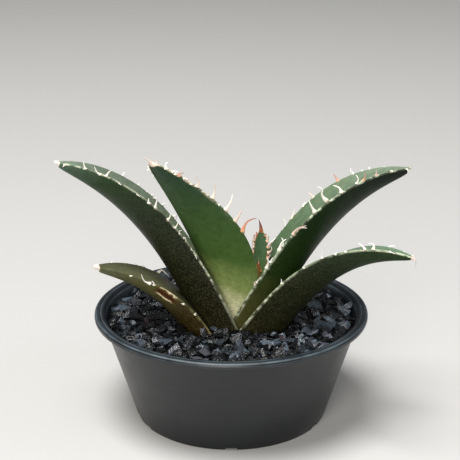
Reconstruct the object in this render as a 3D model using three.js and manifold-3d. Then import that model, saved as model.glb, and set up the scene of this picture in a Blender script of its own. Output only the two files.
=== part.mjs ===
// A young agave in a shallow plastic nursery pan, dressed with crushed black stone.
// Units are millimetres, +Z is up, and the origin is the centre of the pan's foot plane.
import * as THREE from "three";
import { ConvexGeometry } from "three/addons/geometries/ConvexGeometry.js";
import { mergeVertices } from "three/addons/utils/BufferGeometryUtils.js";
import Module from "manifold-3d";

const wasm = await Module();
wasm.setup();

// ---------------------------------------------------------------- driving dimensions
const clearance = 0.3; // gap kept between any two touching pieces

const rimRadius = 60; // outside of the lip
const potHeight = 48;
const footRadius = 42; // outside of the wall at the foot
const wall = 1.2;
const lipWidth = 4.2; // flat top of the lip, from the inner wall to the outer edge
const lipHeight = 2.6;
const lipRound = 0.7;
const footRingWidth = 7;
const footLift = 1.2; // how far the floor between ring and boss stands off the table
const floorThickness = 1.6;
const bossRadius = 9; // solid disc in the middle of the foot
const drainCount = 6;
const drainRadius = 3.5;
const drainCircle = 22;
const grooveWidth = 5; // gaps through the foot ring that let water out
const potSides = 48;

const dressingDrop = 5; // from the rim down to the general level of the stone chips
const chipBedDrop = 7; // from the rim down to the top of the packed bed
const chipBedDepth = 3;

const stemRadius = 6.5;
const stemLength = 17;
const stemDrop = 4; // from the crown down to the top of the stem
const stemCentre = [2, -1];
const stemTaper = [0.45, 0.55]; // radius at the top and at the foot, as shares of stemRadius
const rootCount = 7;
const rootRadius = 0.9;
const rootStart = 4; // from the stem's widest level down to where the roots leave it
const rootWallGap = 9; // from the longest root's tip to the pan's wall
const rootFloorGap = 3; // from the deepest root's middle to the pan's floor
const shortRoot = 0.8; // length and depth of the lesser roots, as a share of the greatest

const chipCount = 24;
const chipLengths = [5.5, 9.5];
const chipCorners = 11;
const chipSpacing = 1; // smallest gap between two chips' outlines

// Each leaf is one arched blade. Angles are in degrees: azimuth 0 points along +X and rise 0 is level.
// root is where the blade starts, from the crown: the centre of the dressing's surface.
// bend shapes how late the blade arches over, widest is where along it the blade is widest, neck is
// the share of the width left at the root, channel is how far the margins stand up as a share of half
// the width, and tipForm and thinning are the powers that the outline and the thickness fall away with.
// teeth counts the teeth on one margin, and toothed is the stretch of the blade that carries them.
const leaves = {
  leaf_lower_left: {
    azimuth: [195.4, 195.2], rise: [68.7, 3.3], bend: 1.15, roll: -5.4, root: [-8.4, -5.5, -9.8],
    length: 70.3, width: 21.3, thickness: 9.7, channel: 0.12,
    widest: 0.29, neck: 0.91, tipForm: 0.75, thinning: 0.44, teeth: 4, toothed: [0.45, 0.9], spine: 1.5,
  },
  leaf_lower_right: {
    azimuth: [-28.7, -33.4], rise: [53.3, -11.4], bend: 2.2, roll: -13.3, root: [7, -3.7, -6.9],
    length: 98.4, width: 26.1, thickness: 12.1, channel: 0.17,
    widest: 0.42, neck: 1, tipForm: 0.91, thinning: 0.49, teeth: 6, toothed: [0.4, 0.94], spine: 4,
  },
  leaf_upper_left: {
    azimuth: [186.8, 197.6], rise: [64.9, 17.7], bend: 1.94, roll: 3.3, root: [-0.7, -2.2, -7.6],
    length: 115.2, width: 29.1, thickness: 11.4, channel: 0.41,
    widest: 0.51, neck: 0.93, tipForm: 0.8, thinning: 0.44, teeth: 8, toothed: [0.38, 0.94], spine: 1.5,
  },
  leaf_upper_right: {
    azimuth: [-3.5, -0.2], rise: [60.6, 6.4], bend: 2.3, roll: -4.4, root: [2.3, 0.6, -2.8],
    length: 107.8, width: 26.6, thickness: 13.4, channel: 0.33,
    widest: 0.51, neck: 0.98, tipForm: 0.85, thinning: 0.44, teeth: 9, toothed: [0.32, 0.94], spine: 1.5,
  },
  leaf_centre: {
    azimuth: [240.6, 211.1], rise: [97.8, 41.3], bend: 0.45, roll: 12.2, root: [2.9, -1.6, -0.7],
    length: 99.2, width: 30.2, thickness: 9, channel: 0.08,
    widest: 0.51, neck: 0.5, tipForm: 0.47, thinning: 0.5, teeth: 9, toothed: [0.42, 0.96], spine: 5,
  },
  leaf_young: {
    azimuth: [60, 75], rise: [76, 92], bend: 1, roll: 0, root: [9.5, 0.8, 0.5],
    length: 38.5, width: 11, thickness: 4, channel: 0.3,
    widest: 0.6, neck: 0.75, tipForm: 0.5, thinning: 0.4, teeth: 3, toothed: [0.6, 0.95], spine: 7,
  },
  leaf_bud: {
    azimuth: [-95, -95], rise: [84, 92], bend: 1, roll: 0, root: [12, -1.5, 3],
    length: 24, width: 5, thickness: 3, channel: 0.3,
    widest: 0.3, neck: 0.9, tipForm: 0.8, thinning: 0.5, teeth: 0, toothed: [0, 0], spine: 3,
  },
};
const channelFill = 0.12; // how full the channel is along its middle, as a share of half the width
const rootBulge = 1; // how far a blade's root is rounded beyond its first section
const leafSides = 12;
const leafRings = 14;
const bladeSteps = 4 * leafRings; // steps that the midrib is followed in
const toothLength = 4.2;
const toothRadius = 0.9;
const toothSink = 1.3; // how deep a tooth's foot sits in the blade
const toothLean = 1.1; // how far a tooth leans outward for each unit that it stands up

// ---------------------------------------------------------------- helpers
const radians = THREE.MathUtils.degToRad;
const lerp = THREE.MathUtils.lerp;
const goldenAngle = radians(137.5);

// A repeatable stream of numbers from 0 to 1.
function dice(seed) {
  let state = seed;
  return () => {
    state = (state * 16807) % 2147483647;
    return state / 2147483647;
  };
}

// A closed three.js geometry as a solid.
function solidOf(geometry) {
  const bare = geometry.clone();
  bare.deleteAttribute("normal");
  bare.deleteAttribute("uv");
  const merged = mergeVertices(bare, 1e-3);
  const vertProperties = merged.attributes.position.array;
  const triVerts = new Uint32Array(merged.index.array);
  return new wasm.Manifold(new wasm.Mesh({ numProp: 3, vertProperties, triVerts }));
}

function geometryOf(solid) {
  const mesh = solid.getMesh();
  const geometry = new THREE.BufferGeometry();
  geometry.setAttribute("position", new THREE.BufferAttribute(mesh.vertProperties, 3));
  geometry.setIndex(new THREE.BufferAttribute(mesh.triVerts, 1));
  geometry.computeVertexNormals();
  return geometry;
}

function largestPiece(solid) {
  return solid.decompose().reduce((best, piece) => (piece.volume() > best.volume() ? piece : best));
}

// A solid of revolution about +Z from [radius, height] points that start and end on the axis.
function turned(profile, sides) {
  const points = profile.map(([r, z]) => new THREE.Vector2(r, z));
  return new THREE.LatheGeometry(points, sides).rotateX(Math.PI / 2);
}

// ---------------------------------------------------------------- materials
function finish(color, roughness, metalness = 0) {
  return new THREE.MeshStandardMaterial({ color, roughness, metalness });
}
const materials = {
  plastic: finish(0x23282b, 0.45),
  mix: finish(0x2a2522, 0.95),
  stone: finish(0x3a3a3e, 0.6),
  leaf: finish(0x3d5a34, 0.5),
  stem: finish(0xa8a47a, 0.8),
};

// ---------------------------------------------------------------- worked-out sizes
const innerRimRadius = rimRadius - lipWidth;
const wallTopRadius = innerRimRadius + wall;
const innerFootRadius = footRadius - wall;
const floorTop = footLift + floorThickness;
const crown = potHeight - dressingDrop;
const bedTop = potHeight - chipBedDrop;
const bedBottom = bedTop - chipBedDepth;

function innerRadiusAt(z) {
  return lerp(innerFootRadius, innerRimRadius, (z - floorTop) / (potHeight - floorTop));
}

// ---------------------------------------------------------------- pan
function panSolid() {
  const lipTop = potHeight;
  const lipFoot = potHeight - lipHeight;
  const shoulder = lerp(footRadius, wallTopRadius, lipFoot / potHeight);
  const profile = [
    [0, 0],
    [bossRadius, 0],
    [bossRadius + footLift, footLift],
    [footRadius - footRingWidth - footLift, footLift],
    [footRadius - footRingWidth, 0],
    [footRadius - lipRound, 0],
    [footRadius, lipRound],
    [shoulder, lipFoot],
    [rimRadius - lipRound, lipFoot],
    [rimRadius, lipFoot + lipRound],
    [rimRadius, lipTop - lipRound],
    [rimRadius - lipRound, lipTop],
    [innerRimRadius + lipRound, lipTop],
    [innerRimRadius, lipTop - lipRound],
    [innerFootRadius, floorTop],
    [0, floorTop],
  ];
  let pan = solidOf(turned(profile, potSides));
  const drill = new THREE.CylinderGeometry(drainRadius, drainRadius, 4 * floorTop, 16).rotateX(Math.PI / 2);
  const grooveStart = bossRadius + 2 * footLift;
  const cutter = new THREE.BoxGeometry(footRadius, grooveWidth, 2 * footLift);
  cutter.translate(grooveStart + footRadius / 2, 0, 0);
  for (let i = 0; i < drainCount; i++) {
    const turn = (2 * Math.PI * i) / drainCount;
    const hole = drill.clone().translate(drainCircle, 0, 0).rotateZ(turn);
    const groove = cutter.clone().rotateZ(turn + Math.PI / drainCount);
    pan = pan.subtract(solidOf(hole)).subtract(solidOf(groove));
  }
  return pan;
}

// ---------------------------------------------------------------- leaves
// The midrib's points, each with the directions along the blade, across it and out of its upper face.
function bladeFrames(leaf) {
  const frames = [];
  const middle = new THREE.Vector3(...leaf.root);
  for (let i = 0; i <= bladeSteps; i++) {
    const share = i / bladeSteps;
    const rise = radians(lerp(leaf.rise[0], leaf.rise[1], share ** leaf.bend));
    const azimuth = radians(lerp(leaf.azimuth[0], leaf.azimuth[1], share ** 1.5));
    const roll = radians(leaf.roll) * share;
    const [ca, sa, cr, sr] = [Math.cos(azimuth), Math.sin(azimuth), Math.cos(rise), Math.sin(rise)];
    const along = new THREE.Vector3(ca * cr, sa * cr, sr);
    const across = new THREE.Vector3(-sa, ca, 0).applyAxisAngle(along, roll);
    const upper = new THREE.Vector3().crossVectors(along, across);
    if (i > 0) {
      const stride = along.clone().add(frames[i - 1].along).multiplyScalar(leaf.length / bladeSteps / 2);
      middle.add(stride);
    }
    frames.push({ middle: middle.clone(), along, across, upper });
  }
  return frames;
}

function halfWidthAt(leaf, share) {
  if (share < leaf.widest) {
    const swell = Math.sin((Math.PI / 2) * (share / leaf.widest));
    return (leaf.width / 2) * lerp(leaf.neck, 1, swell);
  }
  const fall = Math.cos((Math.PI / 2) * ((share - leaf.widest) / (1 - leaf.widest)));
  return (leaf.width / 2) * Math.max(fall, 0) ** leaf.tipForm;
}

// A point on the blade's section at an angle: 0 and pi are the margins, and the lower half is the keel.
// The upper face is a channel between the margins, filled a little along its middle.
function sectionPoint(leaf, frame, share, angle, grow) {
  const half = halfWidthAt(leaf, share);
  const depth = leaf.thickness * (1 - share) ** leaf.thinning;
  const out = (half + grow) * Math.cos(angle);
  const rim = (leaf.channel * out * out) / half;
  const sine = Math.sin(angle);
  const fill = channelFill * half * sine * sine;
  const body = sine > 0 ? fill + grow * Math.min(1, 2 * sine) : (depth + grow) * sine;
  const point = frame.middle.clone().addScaledVector(frame.across, out);
  return point.addScaledVector(frame.upper, rim + body);
}

// The blade as a sphere's grid pulled along the midrib: one pole closes the root, the other is the tip.
function bladeGeometry(leaf, grow = 0) {
  const rings = leafRings + 1;
  const frames = bladeFrames(leaf);
  const geometry = new THREE.SphereGeometry(1, leafSides, rings);
  const { position, uv } = geometry.attributes;
  for (let i = 0; i < position.count; i++) {
    const ring = Math.round((1 - uv.getY(i)) * rings);
    const share = Math.max(ring - 1, 0) / leafRings;
    const frame = frames[Math.round(share * bladeSteps)];
    const side = Math.round(uv.getX(i) * leafSides) % leafSides;
    const angle = (-2 * Math.PI * side) / leafSides;
    let point = sectionPoint(leaf, frame, share, angle, grow);
    if (ring === 1) point.addScaledVector(frame.along, -grow);
    if (ring === 0) point = frame.middle.clone().addScaledVector(frame.along, -rootBulge - grow);
    if (ring === rings) point = frame.middle.clone().addScaledVector(frame.along, grow);
    position.setXYZ(i, point.x, point.y, point.z);
  }
  return geometry;
}

// A tooth or spine: a cone whose foot is at a point and whose tip leans the given way.
function toothSolid(foot, direction, length, grow) {
  const cone = new THREE.ConeGeometry(toothRadius + grow, length + 2 * grow, 5);
  cone.translate(0, length / 2, 0);
  const turn = new THREE.Quaternion().setFromUnitVectors(new THREE.Vector3(0, 1, 0), direction);
  cone.applyQuaternion(turn).translate(foot.x, foot.y, foot.z);
  return solidOf(cone);
}

// The whole leaf: its blade, the teeth along both margins and the spine at the tip.
function leafSolid(leaf, grow = 0) {
  let blade = solidOf(bladeGeometry(leaf, grow));
  const frames = bladeFrames(leaf);
  for (let i = 0; i < leaf.teeth; i++) {
    const share = lerp(...leaf.toothed, (i + 0.5) / leaf.teeth);
    const frame = frames[Math.round(share * bladeSteps)];
    const half = halfWidthAt(leaf, share);
    for (const side of [-1, 1]) {
      const margin = sectionPoint(leaf, frame, share, side > 0 ? 0 : Math.PI, 0);
      const outward = frame.across.clone().multiplyScalar(side * toothLean);
      outward.add(frame.upper).normalize();
      const foot = margin.addScaledVector(frame.across, -side * Math.min(toothSink, half / 2));
      blade = blade.add(toothSolid(foot, outward, toothLength + toothSink, grow));
    }
  }
  const end = frames[bladeSteps];
  const seat = end.middle.clone().addScaledVector(end.along, -2 * toothSink);
  return blade.add(toothSolid(seat, end.along, leaf.spine + 2 * toothSink, grow));
}

// ---------------------------------------------------------------- stem and roots
// One root as a tube that leaves the stem level and bends down towards its tip.
function rootSolid(index, startHeight, grow) {
  const turn = (2 * Math.PI * (index + 0.3)) / rootCount;
  const reach = (innerFootRadius - rootWallGap) * (index % 2 ? shortRoot : 1);
  const drop = (startHeight + crown - floorTop - rootFloorGap) * (index % 3 ? shortRoot : 1);
  const stops = [0.1, 0.35, 0.7, 1].map((share) => {
    const out = new THREE.Vector2(share * reach, 0).rotateAround(new THREE.Vector2(), turn);
    const inset = 1 - share; // the tips are spread about the pan's axis, and the starts about the stem's
    const [x, y] = [out.x + inset * stemCentre[0], out.y + inset * stemCentre[1]];
    return new THREE.Vector3(x, y, startHeight - drop * share ** 1.6);
  });
  const tipWay = stops[3].clone().sub(stops[2]).normalize();
  stops[3].addScaledVector(tipWay, grow);
  const section = new THREE.Shape().absarc(0, 0, rootRadius + grow, 0, 2 * Math.PI);
  const path = new THREE.CatmullRomCurve3(stops);
  return solidOf(new THREE.ExtrudeGeometry(section, { steps: 6, curveSegments: 3, extrudePath: path }));
}

function stemSolid(grow = 0) {
  const radius = stemRadius + grow;
  const top = -stemDrop + grow;
  const foot = -stemDrop - stemLength - grow;
  const widestHeight = lerp(top, foot, 0.45);
  const profile = [
    [0, foot],
    [radius * stemTaper[1], foot],
    [radius, lerp(widestHeight, foot, 0.4)],
    [radius, widestHeight],
    [radius * stemTaper[0], top],
    [0, top],
  ];
  let stem = solidOf(turned(profile, 20).translate(...stemCentre, 0));
  const rootHeight = -stemDrop - 0.45 * stemLength - rootStart;
  for (let i = 0; i < rootCount; i++) stem = stem.add(rootSolid(i, rootHeight, grow));
  return stem;
}

// ---------------------------------------------------------------- planting mix and stone bed
// A disc of fill that follows the pan's inner wall between two heights.
function fillSolid(bottom, top) {
  const profile = [
    [0, bottom],
    [innerRadiusAt(bottom) - clearance, bottom],
    [innerRadiusAt(top) - clearance, top],
    [0, top],
  ];
  return solidOf(turned(profile, potSides));
}

// ---------------------------------------------------------------- stone chips
// A crushed-stone chip: the hull of a few points scattered near a flattened ball.
function chipGeometry(roll, length) {
  const [halfDepth, halfHeight] = [length * lerp(0.28, 0.38, roll()), length * lerp(0.14, 0.2, roll())];
  const flat = new THREE.Vector3(length / 2, halfDepth, halfHeight);
  const corners = [];
  for (let i = 0; i < chipCorners; i++) {
    const height = 1 - (2 * (i + 0.5)) / chipCorners;
    const turn = i * goldenAngle + roll();
    const ring = Math.sqrt(1 - height * height);
    const corner = new THREE.Vector3(ring * Math.cos(turn), ring * Math.sin(turn), height);
    corners.push(corner.multiplyScalar(lerp(0.75, 1.05, roll())).multiply(flat));
  }
  return new ConvexGeometry(corners);
}

// Chips are dropped one by one at scattered spots. A spot on the plant, on another chip or on the
// wall is passed over.
function layChips(plantSolids) {
  const roll = dice(20260);
  const chips = [];
  const fieldRadius = innerRadiusAt(bedTop) - clearance;
  const mostTries = 9000;
  for (let i = 0; i < mostTries && chips.length < chipCount; i++) {
    const length = lerp(...chipLengths, roll());
    const out = fieldRadius * Math.sqrt(roll());
    const turn = i * goldenAngle;
    const spot = new THREE.Vector2(out * Math.cos(turn), out * Math.sin(turn));
    if (out + length / 2 > fieldRadius) continue;
    if (chips.some((c) => c.spot.distanceTo(spot) < (c.length + length) / 2 + chipSpacing)) continue;
    const geometry = chipGeometry(roll, length);
    const tilt = new THREE.Euler(lerp(-0.3, 0.3, roll()), lerp(-0.2, 0.2, roll()), 2 * Math.PI * roll());
    const lying = geometry.clone().applyQuaternion(new THREE.Quaternion().setFromEuler(tilt));
    lying.computeBoundingBox();
    const height = bedTop + clearance - lying.boundingBox.min.z;
    const body = solidOf(lying.translate(spot.x, spot.y, height));
    if (plantSolids.some((solid) => !solid.intersect(body).isEmpty())) continue;
    chips.push({ spot, length, geometry, tilt, height });
  }
  return chips;
}

// ---------------------------------------------------------------- assembly
function named(name, geometry, material) {
  const mesh = new THREE.Mesh(geometry, material);
  mesh.name = name;
  return mesh;
}

const part = new THREE.Group();
part.add(named("nursery_pan", geometryOf(panSolid()), materials.plastic));

// The plant is built about its crown. An older leaf gives way to the younger ones that it wraps.
const plant = new THREE.Group();
plant.position.z = crown;
part.add(plant);

const names = Object.keys(leaves);
const grownLeaves = names.map((name) => leafSolid(leaves[name], clearance));
const grownStem = stemSolid(clearance);
names.forEach((name, i) => {
  let blade = leafSolid(leaves[name]).subtract(grownStem);
  for (const younger of grownLeaves.slice(i + 1)) blade = blade.subtract(younger);
  plant.add(named(name, geometryOf(largestPiece(blade)), materials.leaf));
});
plant.add(named("stem_and_roots", geometryOf(stemSolid()), materials.stem));

const grownBlades = names.map((name) => solidOf(bladeGeometry(leaves[name], clearance)));
const plantInFill = [...grownBlades, grownStem].map((solid) => solid.translate([0, 0, crown]));
function planted(fill) {
  let left = fill;
  for (const solid of plantInFill) left = left.subtract(solid);
  return largestPiece(left);
}
const mix = planted(fillSolid(floorTop + clearance, bedBottom - clearance));
const bed = planted(fillSolid(bedBottom, bedTop));
part.add(named("planting_mix", geometryOf(mix), materials.mix));
part.add(named("stone_bed", geometryOf(bed), materials.stone));

const dressing = new THREE.Group();
part.add(dressing);
layChips(plantInFill).forEach((chip, i) => {
  const mesh = named(`stone_chip_${String(i + 1).padStart(2, "0")}`, chip.geometry, materials.stone);
  mesh.position.set(chip.spot.x, chip.spot.y, chip.height);
  mesh.rotation.copy(chip.tilt);
  dressing.add(mesh);
});

export default part;
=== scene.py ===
"""A young agave in a shallow plastic nursery pan, dressed with crushed black stone."""
import functools
import math
import random

import bmesh
import bpy
import numpy as np
from mathutils import Matrix, Vector
from mathutils.bvhtree import BVHTree


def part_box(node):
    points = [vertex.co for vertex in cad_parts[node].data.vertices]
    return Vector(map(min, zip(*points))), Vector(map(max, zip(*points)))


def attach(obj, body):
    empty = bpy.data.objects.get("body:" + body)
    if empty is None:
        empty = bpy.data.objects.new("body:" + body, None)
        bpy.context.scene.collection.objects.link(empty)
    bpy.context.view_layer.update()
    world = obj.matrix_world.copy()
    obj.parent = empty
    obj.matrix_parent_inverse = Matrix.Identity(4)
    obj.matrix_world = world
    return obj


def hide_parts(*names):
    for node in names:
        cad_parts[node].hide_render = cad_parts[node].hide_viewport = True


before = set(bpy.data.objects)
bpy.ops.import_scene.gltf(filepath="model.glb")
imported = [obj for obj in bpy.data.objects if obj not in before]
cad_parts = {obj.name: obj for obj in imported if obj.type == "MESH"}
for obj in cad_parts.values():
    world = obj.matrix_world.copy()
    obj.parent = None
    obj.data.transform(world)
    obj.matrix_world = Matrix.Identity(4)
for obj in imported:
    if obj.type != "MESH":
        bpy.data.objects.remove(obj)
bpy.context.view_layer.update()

MM = 0.001  # the frame is in metres, and the plant's own sizes are worked out in millimetres


# ---------------------------------------------------------------- general helpers
def deselect_all():
    if bpy.context.object and bpy.context.object.mode != "OBJECT":
        bpy.ops.object.mode_set(mode="OBJECT")
    bpy.ops.object.select_all(action="DESELECT")


def select_only(piece):
    deselect_all()
    piece.select_set(True)
    bpy.context.view_layer.objects.active = piece


def new_piece(name, add_primitive, **sizes):
    """Adds a primitive under its own name and returns it, selected and active."""
    deselect_all()
    add_primitive(**sizes)
    piece = bpy.context.object
    piece.name = piece.data.name = name
    return piece


def apply_modifier(piece, kind, **settings):
    select_only(piece)
    modifier = piece.modifiers.new(kind, kind)
    for key, value in settings.items():
        setattr(modifier, key, value)
    bpy.ops.object.modifier_apply(modifier=modifier.name)


def finish_piece(piece, material, body, slot, *nodes):
    """Gives a piece its material and says what it rides on and stands for."""
    piece.data.materials.clear()
    piece.data.materials.append(material)
    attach(piece, body)
    if nodes:
        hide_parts(*nodes)


def mix(a, b, share):
    return a + (b - a) * share


def smooth(low, high, value):
    t = min(max((value - low) / (high - low), 0), 1)
    return t * t * (3 - 2 * t)


# ---------------------------------------------------------------- material helpers
def linear(code):
    """An sRGB hex colour as the linear RGBA that a shader takes."""
    parts = [int(code[i : i + 2], 16) / 255 for i in (1, 3, 5)]
    return [c / 12.92 if c <= 0.04045 else ((c + 0.055) / 1.055) ** 2.4 for c in parts] + [1.0]


def add_node(tree, kind, *values, named=None, stops=None, take=None, **settings):
    """Adds a shader node and returns one of its outputs: the first in use, unless take names another.

    values go to its inputs in use, in order, and named gives inputs by name. Each value is a constant or
    another node's output. stops are the places and colours of a colour ramp.
    """
    made = tree.nodes.new("ShaderNode" + kind)
    for key, value in settings.items():
        setattr(made, key, value)
    if stops:
        ramp = made.color_ramp
        while len(ramp.elements) < len(stops):
            ramp.elements.new(0.5)
        for element, (place, code) in zip(ramp.elements, stops):
            element.position = place
            element.color = linear(code)
    pairs = list(zip([socket for socket in made.inputs if socket.enabled], values))
    pairs += [(made.inputs[key], value) for key, value in (named or {}).items()]
    for socket, value in pairs:
        if isinstance(value, bpy.types.NodeSocket):
            tree.links.new(value, socket)
        else:
            socket.default_value = value
    if take:
        return made.outputs[take]
    return next((socket for socket in made.outputs if socket.enabled), None)


def new_material(name):
    """An empty material, and add_node for its tree."""
    material = bpy.data.materials.new(name)
    material.use_nodes = True
    material.node_tree.nodes.clear()
    return material, functools.partial(add_node, material.node_tree)


def grain(add, size_mm, detail=3.0, stretch=(1, 1, 1)):
    """Noise on Object coordinates whose features are size_mm across."""
    scaled = add("Mapping", named={"Vector": add("TexCoord", take="Object"), "Scale": stretch})
    return add("TexNoise", named={"Vector": scaled, "Scale": 1 / (size_mm * MM), "Detail": detail})


# ---------------------------------------------------------------- sizes from the frame
pan_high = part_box("nursery_pan")[1] / MM
RIM_RADIUS = pan_high.x
POT_HEIGHT = pan_high.z
FOOT_RADIUS = 42
WALL = 1.2
LIP_WIDTH = 4.2
LIP_HEIGHT = 2.6
FOOT_LIFT = 1.2
FLOOR_THICKNESS = 1.6
FOOT_RING_WIDTH = 7
BOSS_RADIUS = 9
DRAIN_COUNT = 6
DRAIN_RADIUS = 3.5
DRAIN_CIRCLE = 22
GROOVE_WIDTH = 5
DRESSING_DROP = 5
CROWN = Vector((0, 0, POT_HEIGHT - DRESSING_DROP))
BED_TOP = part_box("stone_bed")[1].z / MM
INNER_RIM_RADIUS = RIM_RADIUS - LIP_WIDTH
INNER_FOOT_RADIUS = FOOT_RADIUS - WALL
FLOOR_TOP = FOOT_LIFT + FLOOR_THICKNESS


def inner_radius_at(z):
    return mix(INNER_FOOT_RADIUS, INNER_RIM_RADIUS, (z - FLOOR_TOP) / (POT_HEIGHT - FLOOR_TOP))


# ---------------------------------------------------------------- camera
CAMERA_REACH = 600  # from the middle of the rim to the camera
CAMERA_RISE = 22.33
CAMERA_PITCH = 19.07
CAMERA_SIDE = -0.52
LENS = 106.41
SENSOR = 36


def add_camera():
    data = bpy.data.cameras.new("camera")
    data.lens, data.sensor_width, data.sensor_height = LENS, SENSOR, SENSOR
    data.sensor_fit = "HORIZONTAL"
    data.clip_start, data.clip_end = 0.01, 20
    camera = bpy.data.objects.new("camera", data)
    bpy.context.collection.objects.link(camera)
    rise = math.radians(CAMERA_RISE)
    back, up = CAMERA_REACH * math.cos(rise), CAMERA_REACH * math.sin(rise)
    camera.location = Vector((CAMERA_SIDE, -back, POT_HEIGHT + up)) * MM
    camera.rotation_euler = (math.radians(90 - CAMERA_PITCH), 0, 0)
    bpy.context.scene.camera = camera


add_camera()


# ---------------------------------------------------------------- studio
FLOOR_SIZE = 12
ROOM_LIGHT = 0.17
LAMP_AIM = (0, 0, 60)
# Each lamp's place in millimetres, width in metres, power in watts and colour.
LAMPS = {
    "overhead": ((-300, -300, 1700), 0.9, 38, "#ffffff"),
    "front_fill": ((-240, -1560, 800), 1.0, 21, "#fffaf2"),
    "side_fill": ((800, -200, 500), 0.5, 1.5, "#eef4ff"),
}


def add_lamp(name, spot, size, power, colour):
    data = bpy.data.lights.new(name, "AREA")
    data.shape, data.size, data.energy = "DISK", size, power
    data.color = linear(colour)[:3]
    lamp = bpy.data.objects.new(name, data)
    lamp.location = Vector(spot) * MM
    aim = (Vector(LAMP_AIM) - Vector(spot)).to_track_quat("-Z", "Y")
    lamp.rotation_euler = aim.to_euler()
    bpy.context.collection.objects.link(lamp)


def pale_paper():
    """Matt background paper, laid flat: pale, even and without shine."""
    material, add = new_material("pale_paper")
    paper = add("BsdfPrincipled", named={"Base Color": linear("#c2c1be"), "Roughness": 0.9})
    add("OutputMaterial", paper)
    return material


def add_studio():
    floor = new_piece("studio_floor", bpy.ops.mesh.primitive_plane_add, size=FLOOR_SIZE)
    floor.data.materials.append(pale_paper())
    world = bpy.data.worlds.new("studio")
    world.use_nodes = True
    room = world.node_tree.nodes["Background"]
    room.inputs["Color"].default_value = linear("#f2f4f6")
    room.inputs["Strength"].default_value = ROOM_LIGHT
    bpy.context.scene.world = world
    for name, lamp in LAMPS.items():
        add_lamp(name, *lamp)
    bpy.context.scene.view_settings.view_transform = "Standard"


add_studio()


# ---------------------------------------------------------------- pan
PAN_SIDES = 160
DRAIN_SIDES = 40
SHARP_ANGLE = 35  # edges bent by more than this stay sharp
WALL_RINGS = (0.05, 0.35, 0.7, 0.97)  # shares of the wall's height
FLOOR_RING_GAP = 8  # from the circle of drain holes to the floor's rings on either side of it
# Rounded edges of the pan's outline: each point's distance outward and upward from the sharp corner.
BOSS_EDGE = ((-0.4, 0), (0.2, 0.3))
FOOT_INNER_EDGE = ((-0.2, 0.25), (0.3, 0))
FOOT_OUTER_EDGE = ((-0.8, 0), (-0.2, 0.2), (0.05, 0.8))
LIP_ROOT = ((0.1, -0.25), (0.5, 0))
LIP_LOWER_EDGE = ((-0.6, 0), (-0.15, 0.15), (0, 0.6))
LIP_UPPER_EDGE = ((0, -1.3), (-0.1, -0.85), (-0.4, -0.38), (-0.85, -0.08), (-1.3, 0), (-1.8, -0.12))
LIP_INNER_EDGE = ((1.3, -0.12), (0.8, 0), (0.25, -0.2), (0, -0.8))
FLOOR_EDGE = ((-0.6, 0.1), (-1.4, 0))


def moulded_polypropylene():
    """Injection-moulded polypropylene: a blue-black satin plastic, with fine marks round its worn lip."""
    material, add = new_material("moulded_polypropylene")
    place = add("TexCoord", take="Object")
    height = add("SeparateXYZ", place, take="Z")
    flat = add("VectorMath", place, (1, 1, 0), operation="MULTIPLY")
    ring = add("CombineXYZ", add("VectorMath", flat, operation="LENGTH"), 0.0, height)
    # rings left by turning the mould, 0.5 mm apart and broken every centimetre or so
    rings = add("TexNoise", named={"Vector": ring, "Scale": 1 / (0.5 * MM), "Detail": 2.0})
    rings = add("MapRange", rings, 0.48, 0.64)
    broken = add("MapRange", grain(add, 9), 0.35, 0.6, 0.35, 1.0)
    lip_foot = (POT_HEIGHT - LIP_HEIGHT) * MM
    on_lip = add("MapRange", height, lip_foot - 0.5 * MM, lip_foot, 0.04, 0.75)
    marks = add("Math", add("Math", rings, broken, operation="MULTIPLY"), on_lip, operation="MULTIPLY")
    cloud = grain(add, 14, 4)
    plain = add("Mix", cloud, linear("#0b0d0f"), linear("#12161a"), data_type="RGBA")
    marked = add("Mix", marks, plain, linear("#5a6871"), data_type="RGBA")
    satin = add("MapRange", cloud, 0.3, 0.7, 0.33, 0.42)
    skin = {
        "Base Color": marked,
        "Roughness": add("Math", satin, add("Math", marks, 0.2, operation="MULTIPLY"), operation="ADD"),
        "IOR": 1.49,
        "Normal": add("Bump", named={"Height": rings, "Distance": 0.02 * MM}),
    }
    add("OutputMaterial", add("BsdfPrincipled", named=skin))
    return material


def rounded(radius, height, edge):
    return [(radius + outward, height + upward) for outward, upward in edge]


def pan_profile():
    """Radius and height of each ring of the pan, from the middle of its foot to the middle of its floor."""
    lip_foot = POT_HEIGHT - LIP_HEIGHT
    shoulder = mix(FOOT_RADIUS, INNER_RIM_RADIUS + WALL, lip_foot / POT_HEIGHT)
    ring_inside = FOOT_RADIUS - FOOT_RING_WIDTH
    rings = rounded(BOSS_RADIUS, 0, BOSS_EDGE)
    rings += [(BOSS_RADIUS + FOOT_LIFT, FOOT_LIFT), (ring_inside - FOOT_LIFT, FOOT_LIFT)]
    rings += rounded(ring_inside, 0, FOOT_INNER_EDGE)
    rings += rounded(FOOT_RADIUS, 0, FOOT_OUTER_EDGE)
    rings += [(mix(FOOT_RADIUS, shoulder, t), mix(0, lip_foot, t)) for t in WALL_RINGS]
    rings += rounded(shoulder, lip_foot, LIP_ROOT)
    rings += rounded(RIM_RADIUS, lip_foot, LIP_LOWER_EDGE)
    rings += rounded(RIM_RADIUS, POT_HEIGHT, LIP_UPPER_EDGE)
    rings += rounded(INNER_RIM_RADIUS, POT_HEIGHT, LIP_INNER_EDGE)
    inner_heights = (POT_HEIGHT - 2, 30, 12, FLOOR_TOP + 0.8)
    rings += [(inner_radius_at(z), z) for z in inner_heights]
    rings += rounded(INNER_FOOT_RADIUS, FLOOR_TOP, FLOOR_EDGE)
    rings += [(DRAIN_CIRCLE + gap, FLOOR_TOP) for gap in (FLOOR_RING_GAP, -FLOOR_RING_GAP)]
    return rings


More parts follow.
